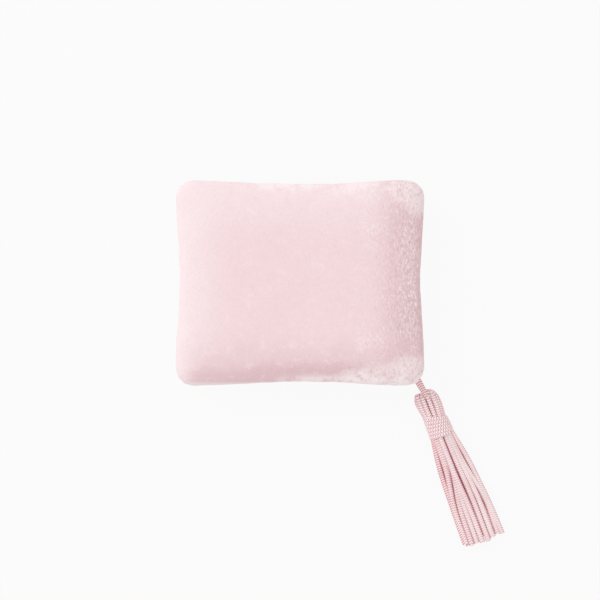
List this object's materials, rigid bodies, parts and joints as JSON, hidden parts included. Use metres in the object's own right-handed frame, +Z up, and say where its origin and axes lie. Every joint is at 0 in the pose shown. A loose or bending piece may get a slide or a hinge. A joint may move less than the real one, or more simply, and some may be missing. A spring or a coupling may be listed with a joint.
{
  "type": "powder compact",
  "caption": "Velvet-covered rectangular powder compact with a rear hinge, mirror, pressed powder, puff and a cord tassel on one corner.",
  "frame": {"origin": "on the surface the compact lies on, under the middle of the closed case without its tassel", "axes": "+Z up through the lid, +X to the right seen from the opening edge, -Y the opening edge, +Y the hinge"},
  "size_m": [0.1147, 0.1283, 0.022],
  "materials": {
    "velvet": "crushed silk velvet, pale pink, soft sheen",
    "foam": "open-cell foam",
    "shell_plastic": "moulded ABS, fine satin",
    "deck_plastic": "moulded, satin gloss",
    "steel": "drawn wire and punched disc, satin",
    "pan_metal": "drawn aluminium",
    "pressed_powder": "pressed powder, dead matt",
    "adhesive": "foam tape",
    "magnet": "nickel-plated magnet",
    "mirror_glass": "silvered glass",
    "puff_plush": "short flocked plush",
    "puff_satin": "satin weave",
    "ribbon": "grosgrain ribbon, satin",
    "braid": "flat rayon braid",
    "tassel_cord": "rayon chainette cord, silky"
  },
  "bodies": {
    "base": {"base_cover": "velvet", "base_padding": "foam", "base_shell": "shell_plastic", "hinge_pin": "steel", "inner_deck": "deck_plastic", "powder_pan": "pan_metal", "powder_cake": "pressed_powder", "pan_adhesive": "adhesive", "closing_magnets": "magnet", "loop_post": "steel"},
    "lid": {"lid_cover": "velvet", "lid_padding": "foam", "lid_shell": "shell_plastic", "mirror_bezel": "deck_plastic", "mirror": "mirror_glass", "mirror_tape": "adhesive", "magnet_keepers": "steel"},
    "puff": {"puff_pad": "puff_plush", "puff_backing": "puff_satin", "puff_ribbon": "ribbon"},
    "loop": {"hanging_loop": "braid"},
    "tassel": {"tassel_head": "tassel_cord", "tassel_core": "braid", "tassel_band": "tassel_cord", "tassel_skirt": "tassel_cord"}
  },
  "joints": [
    {"name": "lid_open", "type": "hinge", "parent": "base", "child": "lid", "pos_m": [0, 0.0335, 0.011], "axis": [-1, 0, 0], "range_deg": [0, 105]},
    {"name": "puff_lift", "type": "slide", "parent": "base", "child": "puff", "axis": [0, 0, 1], "range_m": [0, 0.0024]},
    {"name": "loop_swing", "type": "hinge", "parent": "base", "child": "loop", "pos_m": [0.0354, -0.0279, 0.008], "axis": [0, 0, 1], "range_deg": [-12, 12]},
    {"name": "tassel_swivel", "type": "hinge", "parent": "loop", "child": "tassel", "pos_m": [0.0445, -0.0403, 0.007], "axis": [0, 0, 1], "range_deg": [-50, 50]}
  ]
}
